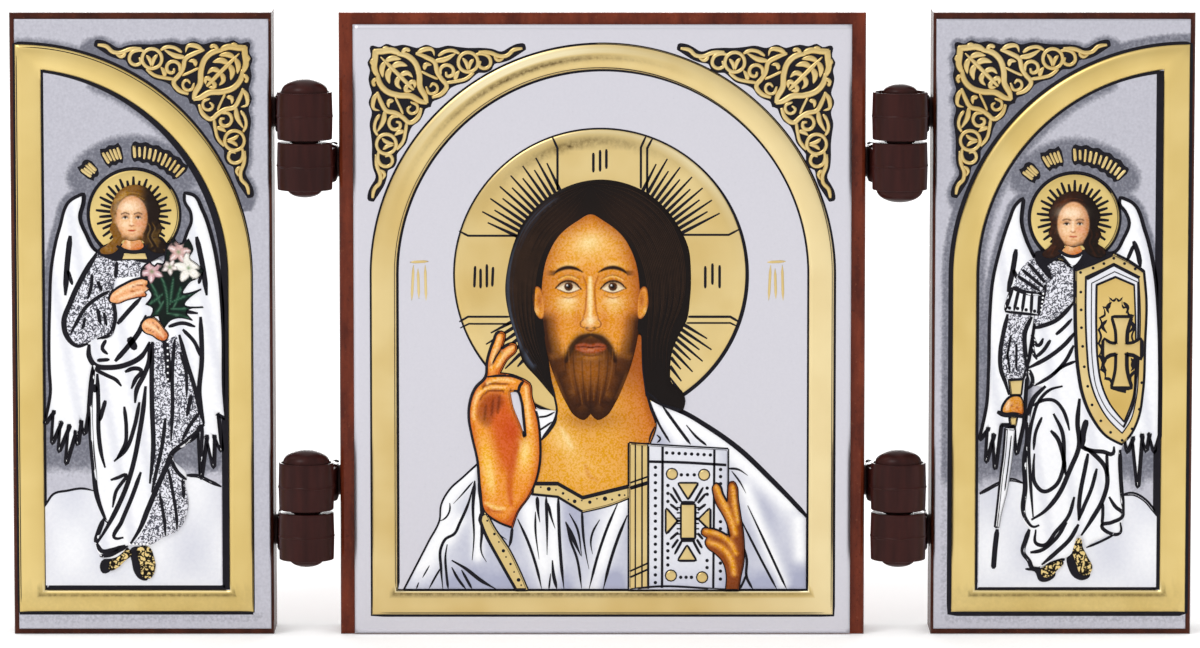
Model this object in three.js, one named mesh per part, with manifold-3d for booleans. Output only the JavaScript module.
// A folding triptych icon: three stained boards joined by plastic barrel hinges,
// each board faced with an embossed foil plate.
// Millimetres. X runs across the open triptych, Y from its front (-) to its back (+), Z up.
// The origin is at the middle of the centre board's underside.
import * as THREE from "three";
import { mergeVertices } from "three/addons/utils/BufferGeometryUtils.js";
import Module from "manifold-3d";

const wasm = await Module();
wasm.setup();

// Boards
const BOARD_HEIGHT = 70;
const CENTER_WIDTH = 58.8;
const WING_WIDTH = 29.2;
const BOARD_THICKNESS = 8;
const BOARD_GAP = 7.5;
const EDGE_EASE = 0.4;

// Hinges
const AXIS_AHEAD = 1.2; // of the boards' front faces, so that closed boards lie apart
const BARREL_RADIUS = 3.2;
const BARREL_DRAFT = 0.08;
const PART_LINE = { out: 0.05, half: 0.12 };
const KNUCKLE_HEIGHT = 5.3;
const KNUCKLE_GAP = 0.3;
const HINGE_TO_EDGE = 14.2;
const BORE_RADIUS = 1.7;
const PIN_RADIUS = 1.4;
const RECESS = { radius: 3.0, depth: 0.5 };
const PIN_HEAD = { radius: 2.7, height: 1.45 };
const PIN_TAIL = { radius: 1.9, height: 0.9 };
const NECK_HEIGHT = 4.2;
const FIT_GAP = 0.3;
const PEG = { radius: 1.7, length: 5 };

// Foil plates and their relief
const GLUE_LINE = 0.05;
const PLATE_THICKNESS = 0.4;
const ROOT = 0.1; // how far a raised form starts inside the plate
const RELIEF = { frame: 0.42, halo: 0.25, low: 0.3, mid: 0.38, high: 0.48 };
const ROLL = 0.15; // width of the sloped edge round each raised form
const FOLD = { width: 0.5, rise: 0.1 };

const FRONT = -BOARD_THICKNESS / 2;
const HINGE_AXIS = { x: CENTER_WIDTH / 2 + BOARD_GAP / 2, y: FRONT - AXIS_AHEAD };
const WING_X = CENTER_WIDTH / 2 + BOARD_GAP + WING_WIDTH / 2;
const PLATE_BACK = FRONT - GLUE_LINE;
const PLATE_FRONT = PLATE_BACK - PLATE_THICKNESS;

const stainedBoard = new THREE.MeshStandardMaterial({ color: 0x6a3420, roughness: 0.5 });
const silverFoil = new THREE.MeshStandardMaterial({ color: 0xd3d2da, roughness: 0.35, metalness: 1 });
const hingePlastic = new THREE.MeshStandardMaterial({ color: 0x3c1a17, roughness: 0.35 });

// ---------- solids ----------

// A closed geometry as a manifold solid, with the vertices that its faces share merged.
function solid(geometry) {
  const bare = (geometry.index ? geometry.toNonIndexed() : geometry).clone();
  bare.deleteAttribute("normal");
  bare.deleteAttribute("uv");
  const merged = mergeVertices(bare, 1e-4);
  return new wasm.Manifold(
    new wasm.Mesh({
      numProp: 3,
      vertProperties: merged.attributes.position.array,
      triVerts: new Uint32Array(merged.index.array),
    }),
  );
}

function geometryOf(manifold) {
  const { vertProperties, triVerts } = manifold.getMesh();
  return new THREE.BufferGeometry()
    .setAttribute("position", new THREE.BufferAttribute(vertProperties, 3))
    .setIndex(new THREE.BufferAttribute(triVerts, 1));
}

const joined = (solids) => solids.reduce((whole, next) => whole.add(next));

// Stands a geometry drawn on X and Y upright: its Y becomes Z, and its Z points to the front.
const UPRIGHT = new THREE.Matrix4().set(1, 0, 0, 0, 0, 0, -1, 0, 0, 1, 0, 0, 0, 0, 0, 1);

// An outline in X and Z as a slab between two depths, its front edge sloped by the roll.
function slab(outline, back, front, roll = ROLL) {
  const bevel = { bevelEnabled: roll > 0, bevelThickness: roll, bevelSize: roll, bevelSegments: 1 };
  const thickness = back - front;
  const geometry = new THREE.ExtrudeGeometry(outline, {
    depth: thickness - roll,
    curveSegments: 10,
    bevelOffset: -roll,
    ...bevel,
  });
  geometry.translate(0, 0, -back);
  geometry.applyMatrix4(UPRIGHT);
  return solid(geometry);
}

function turned(profile, segments = 20) {
  const points = profile.map(([radius, z]) => new THREE.Vector2(radius, z));
  return solid(new THREE.LatheGeometry(points, segments).rotateX(Math.PI / 2));
}

// ---------- outlines, in X and Z, with X measured from the middle of a plate ----------

const polygon = (points) => new THREE.Shape(points.map(([x, z]) => new THREE.Vector2(x, z)));

// A closed smooth line through a few points.
function smooth(points, steps = 4) {
  const line = new THREE.CatmullRomCurve3(
    points.map(([x, z]) => new THREE.Vector3(x, z, 0)),
    true,
  );
  const along = line.getPoints(points.length * steps).slice(0, -1);
  return new THREE.Shape(along.map((p) => new THREE.Vector2(p.x, p.y)));
}

function disc(x, z, radius) {
  const outline = new THREE.Shape();
  outline.absarc(x, z, radius, 0, 2 * Math.PI);
  return outline;
}

// ---------- the picture on the centre plate ----------

const ARCH = { outer: 25.9, inner: 23, springs: 40.7, bottom: 2.3, sill: 5.1 };
const CENTER_PLATE = { left: -27.8, right: 27.8, bottom: 0.2, top: 68.7 };
const CENTER_HALO = { x: -0.2, z: 40.7, radius: 16.4 };
const HAIR = [
  [-5.4, 26], [-8.9, 31], [-10.4, 35.5], [-10.8, 40], [-9.6, 45], [-5.6, 49.8], [0, 51.4],
  [5.4, 49.7], [9.2, 45], [9.8, 40], [8.7, 34], [7.7, 30], [9.2, 26.5], [6, 24.5], [0, 23.5],
];
const ROBE = [
  [-22.4, 5.1], [-18.4, 12.6], [-17.6, 16], [-14, 19.6], [-10, 23.5], [-5, 24.5], [0, 22], [5, 27.6],
  [9, 25.2], [15, 21.2], [22.2, 14], [22.2, 5.1],
];
const FACE = { x: -1.3, z: 37.6, across: 6, high: 9.6 };
const BOOK = [[3, 5.1], [3, 21.8], [14.2, 21.4], [14.1, 5.1]];
const BLESSING_HAND = [
  [-10.2, 12.4], [-13.4, 14.2], [-14.1, 20], [-14.9, 25.4], [-13.2, 29.2], [-11.4, 34.3],
  [-9.8, 32.6], [-10.6, 30], [-8.2, 28.6], [-7, 23], [-7.6, 17],
];
const HOLDING_HAND = [
  [14, 5.3], [14.4, 8.6], [11.3, 11.4], [13.6, 13], [12.6, 17], [15, 17], [15.6, 11], [15.6, 5.3],
];
const CENTER_FOLDS = [
  [-19, 6, -15, 16.5], [-16.6, 6, -14.6, 12], [-9, 6, -9.4, 13], [-5.4, 6, -6.2, 14.4], [-2, 6, -3.4, 13],
  [0.4, 6, 1.9, 13.6], [16.6, 6, 15.6, 14], [19.2, 6, 15.8, 16.4], [10, 24.2, 6.6, 25.4],
];

function archOutline(halfWidth, bottom, springs) {
  const outline = new THREE.Shape();
  outline.moveTo(-halfWidth, bottom);
  outline.lineTo(halfWidth, bottom);
  outline.absarc(0, springs, halfWidth, 0, Math.PI);
  return outline;
}

// A leafy spandrel corner, hollowed along the arch: side is -1 on the left, 1 on the right.
function spandrel(side, corner, archX, reach) {
  const outline = new THREE.Shape();
  const clear = ARCH.outer + 1;
  const [x, z] = corner;
  const steps = 8;
  outline.moveTo(x, z);
  outline.lineTo(x - side * reach, z);
  for (let i = 0; i <= steps; i++) {
    const turn = THREE.MathUtils.degToRad(62 - (34 * i) / steps);
    outline.lineTo(archX + side * clear * Math.cos(turn), ARCH.springs + clear * Math.sin(turn));
  }
  outline.lineTo(x, z - reach);
  return outline;
}

function plate({ left, right, bottom, top }) {
  const sheet = polygon([[left, bottom], [right, bottom], [right, top], [left, top]]);
  return slab(sheet, PLATE_BACK, PLATE_FRONT, 0);
}

const raised = (outline, height) => slab(outline, PLATE_FRONT + ROOT, PLATE_FRONT - height);

// A drapery fold: a narrow leaf from one point to another, standing on a form of the given height.
function fold([x0, z0, x1, z1], height) {
  const along = new THREE.Vector2(x1 - x0, z1 - z0).normalize().multiplyScalar(FOLD.width / 2);
  const middle = [(x0 + x1) / 2, (z0 + z1) / 2];
  const leaf = polygon([
    [x0, z0],
    [middle[0] + along.y, middle[1] - along.x],
    [x1, z1],
    [middle[0] - along.y, middle[1] + along.x],
  ]);
  return slab(leaf, PLATE_FRONT - height + ROOT, PLATE_FRONT - height - FOLD.rise, 0);
}

function centerIcon() {
  const frame = archOutline(ARCH.outer, ARCH.bottom, ARCH.springs);
  frame.holes.push(archOutline(ARCH.inner, ARCH.sill, ARCH.springs));
  const face = new THREE.Shape();
  face.absellipse(FACE.x, FACE.z, FACE.across, FACE.high, 0, 2 * Math.PI);
  return joined([
    plate(CENTER_PLATE),
    raised(frame, RELIEF.frame),
    raised(disc(CENTER_HALO.x, CENTER_HALO.z, CENTER_HALO.radius), RELIEF.halo),
    raised(smooth(HAIR), RELIEF.low),
    raised(polygon(ROBE), RELIEF.low),
    raised(face, RELIEF.mid),
    raised(polygon(BOOK), RELIEF.mid),
    raised(smooth(BLESSING_HAND), RELIEF.high),
    raised(smooth(HOLDING_HAND), RELIEF.high),
    raised(spandrel(-1, [-25.8, 66.2], 0, 16.4), RELIEF.halo),
    raised(spandrel(1, [25.6, 66.2], 0, 16.4), RELIEF.halo),
    ...CENTER_FOLDS.map((ends) => fold(ends, RELIEF.low)),
  ]);
}

// ---------- the pictures on the wing plates, drawn for the left wing ----------

const WING_ARCH = { x: -13.65, springs: 40.5, outer: 26, inner: 23.3, bar: -11, bottom: 2.6, sill: 5.1 };
const WING_PLATE = { left: -14, right: 14.3, bottom: 0.7, top: 69.3 };
const WING_HALO = { x: -0.8, z: 47.5, radius: 5.1 };
const WING_HEAD = { x: -1, z: 47.2, across: 1.9, high: 2.6 };
const LONG_WINGS = [
  [[-6.5, 49.7], [-9, 46], [-10.2, 38], [-10.4, 27], [-8.4, 20], [-6, 24], [-5, 32], [-4.6, 42], [-6.6, 46.5]],
  [[4.9, 49.6], [7.8, 46], [9, 39], [9, 27], [8, 20], [6.4, 23], [5.6, 32], [4.6, 42], [5.7, 46.8]],
];
const ANGEL_ROBE = [
  [-4.8, 43], [-7.6, 38.5], [-8.6, 35], [-6.6, 32.6], [-5.8, 27], [-5.4, 17], [-4.4, 12], [-4.6, 8.2],
  [0.6, 7.2], [2.4, 11.6], [4.6, 14], [5, 21], [6.6, 24], [5.8, 33], [5.4, 38], [3.6, 43],
];
const ANGEL_FOLDS = [
  [-4.6, 13, -5.6, 30], [-2.8, 12, -1, 27], [-1.4, 12, 0.8, 32], [0.4, 14, 2, 30], [2.6, 12, 2.8, 31],
  [4.2, 16, 5.4, 33], [-6.8, 34.5, -4.6, 41],
];
const LILIES = [
  [0.4, 41.4], [2.2, 42.6], [3.6, 44.2], [5.4, 43], [6.6, 40.6], [5.6, 38.6], [5, 36.6], [2.6, 35.6], [1, 37.6],
];
const FOLDED_HAND = [[-3.6, 38.4], [-1.2, 40.4], [0.7, 40.2], [0.2, 39], [-2, 38.2]];
const CLOUD = [
  [-11, 5.6], [-11, 15], [-8.6, 16.3], [-5.6, 16.4], [-2, 15], [2, 16], [5, 17.8], [9, 16.6], [9.2, 5.6],
];
const SHIELD = [
  [1.3, 41.2], [5.6, 42.8], [8.9, 41], [9.2, 34], [8.9, 27], [6.7, 21.8], [4, 23.6], [2, 28], [1.4, 34],
];
const SHIELD_FIELD = [
  [3.9, 39.4], [5.8, 40.4], [7.8, 39.4], [8, 32], [7.8, 27], [6.9, 24.2], [4.8, 27], [3.9, 33],
];
const SWORD = [[-7.2, 25.1], [-7.2, 24.7], [-6.2, 24.4], [-7.7, 7.6], [-7.3, 7.6], [-5.3, 24.4], [-4.4, 24.8], [-4.4, 25.2]];
const SWORD_ARM = [
  [-3.2, 42.2], [-5.6, 40.6], [-6.6, 36], [-6.9, 31], [-6.2, 27.6], [-5.4, 25], [-4.4, 26.4], [-4, 31], [-2.6, 38],
];

// The half arch of a wing, which with the other wing's makes the centre's whole arch.
function halfArch({ x, springs, outer, inner, bar, bottom, sill }) {
  const left = WING_PLATE.left;
  const outline = new THREE.Shape();
  outline.moveTo(left, bottom);
  outline.lineTo(x + outer, bottom);
  outline.absarc(x, springs, outer, 0, Math.acos((left - x) / outer));
  const hole = new THREE.Path();
  hole.moveTo(bar, sill);
  hole.lineTo(x + inner, sill);
  hole.absarc(x, springs, inner, 0, Math.acos((bar - x) / inner));
  outline.holes.push(hole);
  return outline;
}

function wingGround() {
  return [
    plate(WING_PLATE),
    raised(halfArch(WING_ARCH), RELIEF.frame),
    raised(disc(WING_HALO.x, WING_HALO.z, WING_HALO.radius), RELIEF.halo),
    raised(spandrel(1, [12.1, 66.2], WING_ARCH.x, 16.4), RELIEF.halo),
    raised(polygon(CLOUD), RELIEF.halo - ROOT),
    ...LONG_WINGS.map((outline) => raised(smooth(outline), RELIEF.halo)),
    raised(polygon(ANGEL_ROBE), RELIEF.low),
    ...ANGEL_FOLDS.map((ends) => fold(ends, RELIEF.low)),
  ];
}

function angelHead() {
  const head = new THREE.Shape();
  head.absellipse(WING_HEAD.x, WING_HEAD.z, WING_HEAD.across, WING_HEAD.high, 0, 2 * Math.PI);
  return raised(head, RELIEF.mid);
}

function leftIcon() {
  const lilies = raised(smooth(LILIES), RELIEF.mid);
  const hand = raised(smooth(FOLDED_HAND), RELIEF.high);
  return joined([...wingGround(), angelHead(), lilies, hand]);
}

// The right plate mirrors the left one's ground, with a shield and a sword.
function rightIcon() {
  return joined([
    joined([...wingGround(), angelHead()]).mirror([1, 0, 0]),
    raised(polygon(SHIELD), RELIEF.mid),
    raised(polygon(SHIELD_FIELD), RELIEF.high),
    raised(polygon(SWORD), RELIEF.mid),
    raised(smooth(SWORD_ARM), RELIEF.mid),
  ]);
}

// ---------- boards ----------

const HINGE_HEIGHTS = { upper: BOARD_HEIGHT - HINGE_TO_EDGE, lower: HINGE_TO_EDGE };
const KNUCKLE_STEP = (KNUCKLE_HEIGHT + KNUCKLE_GAP) / 2;

// On the upper hinges the wing has the upper knuckle, on the lower hinges the lower one.
function knuckleZ(level, isWing) {
  const up = (level === "upper") === isWing ? 1 : -1;
  return HINGE_HEIGHTS[level] + up * KNUCKLE_STEP;
}

// A blind hole in a board's side edge, at the board's mid-thickness: side points out of the board.
function pegHole(edgeX, side, z) {
  const reach = PEG.length + 2 * FIT_GAP;
  const overrun = 1;
  const hole = new THREE.CylinderGeometry(PEG.radius + FIT_GAP, PEG.radius + FIT_GAP, reach + overrun, 24);
  hole.rotateZ(Math.PI / 2);
  hole.translate(edgeX - (side * (reach - overrun)) / 2, 0, z);
  return solid(hole);
}

function board(width, holeSides, isWing) {
  const half = width / 2;
  const outline = polygon([[-half, 0], [half, 0], [half, BOARD_HEIGHT], [-half, BOARD_HEIGHT]]);
  const geometry = new THREE.ExtrudeGeometry(outline, {
    depth: BOARD_THICKNESS - 2 * EDGE_EASE,
    bevelEnabled: true,
    bevelThickness: EDGE_EASE,
    bevelSize: EDGE_EASE,
    bevelOffset: -EDGE_EASE,
    bevelSegments: 2,
  });
  geometry.translate(0, 0, EDGE_EASE + FRONT);
  geometry.applyMatrix4(UPRIGHT);
  let made = solid(geometry);
  for (const side of holeSides) {
    for (const level of Object.keys(HINGE_HEIGHTS)) {
      made = made.subtract(pegHole(side * half, side, knuckleZ(level, isWing)));
    }
  }
  return made;
}

// ---------- hinges, drawn round an upright axis at the origin ----------

// A knuckle: a drafted barrel with its part line, and a shoulder behind it with a peg towards +X.
function knuckle(recessUp) {
  const half = KNUCKLE_HEIGHT / 2;
  const rim = BARREL_RADIUS - BARREL_DRAFT;
  const barrel = turned([
    [0, -half], [rim, -half], [BARREL_RADIUS, -PART_LINE.half], [BARREL_RADIUS + PART_LINE.out, 0],
    [BARREL_RADIUS, PART_LINE.half], [rim, half], [0, half],
  ]);
  const edge = BOARD_GAP / 2 - FIT_GAP;
  const behind = AXIS_AHEAD + BOARD_THICKNESS / 2;
  const shoulder = 2.05;
  const neckOutline = new THREE.Shape(
    [
      [0, 0], [3, 0.4], [edge, behind - shoulder], [edge, behind + shoulder], [1.7, behind + 1.6],
      [0.2, behind], [-1.6, 2.2],
    ].map(([x, y]) => new THREE.Vector2(x, y)),
  );
  const neck = new THREE.ExtrudeGeometry(neckOutline, { depth: NECK_HEIGHT, bevelEnabled: false });
  neck.translate(0, 0, -NECK_HEIGHT / 2);
  const peg = new THREE.CylinderGeometry(PEG.radius, PEG.radius, PEG.length + 1, 24);
  peg.rotateZ(Math.PI / 2);
  peg.translate(edge + (PEG.length - 1) / 2, behind, 0);
  const bore = turned([
    [0, -half - 1], [BORE_RADIUS, -half - 1], [BORE_RADIUS, half - RECESS.depth],
    [RECESS.radius, half - RECESS.depth], [RECESS.radius, half + 1], [0, half + 1],
  ]);
  const made = barrel.add(solid(neck)).add(solid(peg));
  return made.subtract(recessUp ? bore : bore.mirror([0, 0, 1]));
}

// The pin: a domed head and a smaller rounded tail on a shaft through both knuckles.
function pin() {
  const reach = KNUCKLE_HEIGHT + KNUCKLE_GAP / 2;
  const seat = reach - RECESS.depth + FIT_GAP / 2;
  const dome = (radius, base, height, share) => [radius * Math.cos(share), base + height * Math.sin(share)];
  const arc = [0.4, 0.8, 1.2];
  return turned([
    [0, -reach - PIN_TAIL.height],
    ...arc.toReversed().map((t) => dome(PIN_TAIL.radius, -reach, -PIN_TAIL.height, t)),
    [PIN_TAIL.radius, -reach], [PIN_TAIL.radius, -seat], [PIN_RADIUS, -seat], [PIN_RADIUS, seat],
    [PIN_HEAD.radius, seat], [PIN_HEAD.radius, reach],
    ...arc.map((t) => dome(PIN_HEAD.radius, reach, PIN_HEAD.height, t)),
    [0, reach + PIN_HEAD.height],
  ]);
}

// ---------- the triptych ----------

const triptych = new THREE.Group();

function add(name, made, material, x = 0, y = 0, z = 0) {
  const mesh = new THREE.Mesh(geometryOf(made), material);
  mesh.name = name;
  mesh.position.set(x, y, z);
  triptych.add(mesh);
}

add("center_board", board(CENTER_WIDTH, [-1, 1], false), stainedBoard);
add("left_board", board(WING_WIDTH, [1], true), stainedBoard, -WING_X);
add("right_board", board(WING_WIDTH, [-1], true), stainedBoard, WING_X);
add("center_icon", centerIcon(), silverFoil);
add("left_icon", leftIcon(), silverFoil, -WING_X);
add("right_icon", rightIcon(), silverFoil, WING_X);

for (const [side, sign] of [["left", -1], ["right", 1]]) {
  for (const level of Object.keys(HINGE_HEIGHTS)) {
    const hinge = `hinge_${level}_${side}`;
    const x = sign * HINGE_AXIS.x;
    for (const isWing of [true, false]) {
      const z = knuckleZ(level, isWing);
      const made = knuckle(z > HINGE_HEIGHTS[level]);
      const pegsOut = isWing ? sign : -sign;
      const name = `${hinge}_${isWing ? "wing" : "center"}_knuckle`;
      add(name, pegsOut > 0 ? made : made.mirror([1, 0, 0]), hingePlastic, x, HINGE_AXIS.y, z);
    }
    // The upper right pin was driven in from below.
    const upsideDown = side === "right" && level === "upper";
    const rivet = upsideDown ? pin().mirror([0, 0, 1]) : pin();
    add(`${hinge}_pin`, rivet, hingePlastic, x, HINGE_AXIS.y, HINGE_HEIGHTS[level]);
  }
}

export default triptych;
